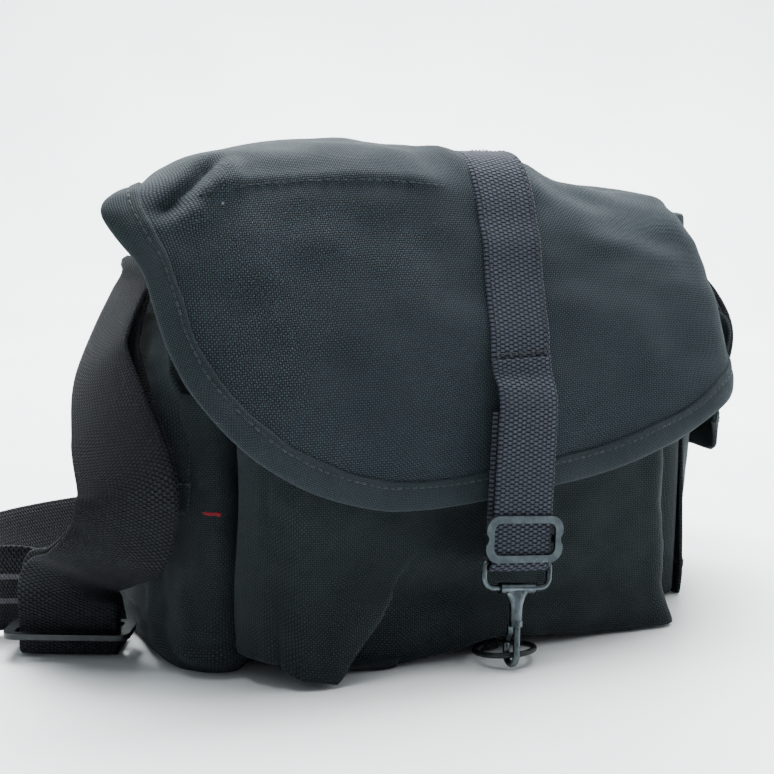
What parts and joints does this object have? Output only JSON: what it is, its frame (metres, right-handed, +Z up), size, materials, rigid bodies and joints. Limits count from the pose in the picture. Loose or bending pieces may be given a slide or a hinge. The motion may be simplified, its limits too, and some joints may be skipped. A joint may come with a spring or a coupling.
{
  "type": "messenger bag",
  "caption": "Canvas messenger bag: wide rounded flap held by a webbing strap and snap hook, a pocket in front and at each end, and a webbing shoulder strap.",
  "frame": {"origin": "the middle of the flat underside of the base panel, on the surface the bag stands on", "axes": "+Z up, -Y the side that faces the viewer with the flap's edge and hook on it, +X to the viewer's right along the bag's length"},
  "size_m": [0.3598, 0.209, 0.1906],
  "materials": {
    "canvas": "coarse duck weave, matt, dark blue-black",
    "tape": "flat woven edge tape, stitched",
    "webbing": "ribbed webbing, charcoal",
    "padding": "brushed lining over foam",
    "board": "stiff board",
    "red_tag": "plain woven tag",
    "gunmetal": "dark satin plating",
    "black_metal": "black satin paint"
  },
  "bodies": {
    "bag": {"base_panel": "canvas", "front_wall": "canvas", "back_wall": "canvas", "left_wall": "canvas", "right_wall": "canvas", "mouth_hem": "tape", "base_board": "board", "insert_front_pad": "padding", "insert_back_pad": "padding", "insert_left_pad": "padding", "insert_right_pad": "padding", "insert_divider": "padding", "front_pocket_floor": "canvas", "front_pocket_face": "canvas", "front_pocket_left_gusset": "canvas", "front_pocket_right_gusset": "canvas", "front_pocket_hem": "tape", "end_pocket_left_wall": "canvas", "end_pocket_left_floor": "canvas", "end_pocket_right_wall": "canvas", "end_pocket_right_floor": "canvas", "side_label": "red_tag", "strap_tab_left": "webbing", "strap_tab_right": "webbing", "ring_tab": "webbing", "strap_left_hang": "webbing", "strap_fold": "webbing", "strap_floor_loop": "webbing", "strap_back_run": "webbing", "strap_right_hang": "webbing"},
    "flap": {"flap_panel": "canvas", "flap_binding": "tape", "closure_strap_sewn": "webbing"},
    "closure": {"closure_strap_free": "webbing"},
    "closure_slide": {"closure_slide": "black_metal"},
    "hook_loop": {"hook_loop": "gunmetal"},
    "hook": {"hook_body": "gunmetal"},
    "gate": {"hook_gate": "gunmetal"},
    "ring": {"catch_ring": "gunmetal"},
    "end_flap_left": {"end_flap_left": "canvas", "end_flap_left_hem": "tape"},
    "end_flap_right": {"end_flap_right": "canvas", "end_flap_right_hem": "tape"},
    "strap_ring_left": {"strap_ring_left": "gunmetal", "strap_end_left": "webbing"},
    "strap_ring_right": {"strap_ring_right": "gunmetal", "strap_end_right": "webbing"},
    "shoulder_slide": {"shoulder_slide": "black_metal"}
  },
  "joints": [
    {"name": "flap_hinge", "type": "hinge", "parent": "bag", "child": "flap", "pos_m": [0, 0.0456, 0.1796], "axis": [-1, 0, 0], "range_deg": [0, 120]},
    {"name": "closure_swing", "type": "hinge", "parent": "flap", "child": "closure", "pos_m": [-0.0035, -0.0868, 0.109], "axis": [-0.9945, 0, 0.1045], "range_deg": [0, 80]},
    {"name": "closure_adjust", "type": "slide", "parent": "closure", "child": "closure_slide", "axis": [0.1042, 0.0837, 0.991], "range_m": [0, 0.028]},
    {"name": "loop_swing", "type": "hinge", "parent": "closure", "child": "hook_loop", "pos_m": [-0.01072, -0.0926, 0.04032], "axis": [-0.9925, 0, 0.1219], "range_deg": [0, 78]},
    {"name": "hook_swing", "type": "hinge", "parent": "hook_loop", "child": "hook", "pos_m": [-0.01186, -0.09425, 0.03104], "axis": [-0.9925, 0, 0.1219], "range_deg": [0, 84]},
    {"name": "gate_press", "type": "hinge", "parent": "hook", "child": "gate", "pos_m": [-0.01361, -0.09282, 0.01678], "axis": [-0.9925, 0, 0.1219], "range_deg": [0, 25], "stiffness_Nm_per_rad": 0.004, "springref_deg": -17.19},
    {"name": "ring_lift", "type": "hinge", "parent": "bag", "child": "ring", "pos_m": [-0.0112, -0.07354, 0.00291], "axis": [-1, 0, 0], "range_deg": [0, 8]},
    {"name": "end_flap_left_hinge", "type": "hinge", "parent": "bag", "child": "end_flap_left", "pos_m": [-0.1044, 0, 0.124], "axis": [0, 1, 0], "range_deg": [0, 3]},
    {"name": "end_flap_right_hinge", "type": "hinge", "parent": "bag", "child": "end_flap_right", "pos_m": [0.1044, 0, 0.124], "axis": [0, -1, 0], "range_deg": [0, 25]},
    {"name": "strap_ring_left_swing", "type": "hinge", "parent": "bag", "child": "strap_ring_left", "pos_m": [-0.11, 0, 0.157], "axis": [0, 1, 0], "range_deg": [0, 12]},
    {"name": "strap_ring_right_swing", "type": "hinge", "parent": "bag", "child": "strap_ring_right", "pos_m": [0.11, 0, 0.157], "axis": [0, -1, 0], "range_deg": [0, 12]},
    {"name": "shoulder_adjust", "type": "slide", "parent": "bag", "child": "shoulder_slide", "axis": [0, 0, 1], "range_m": [-0.006, 0.006]}
  ]
}
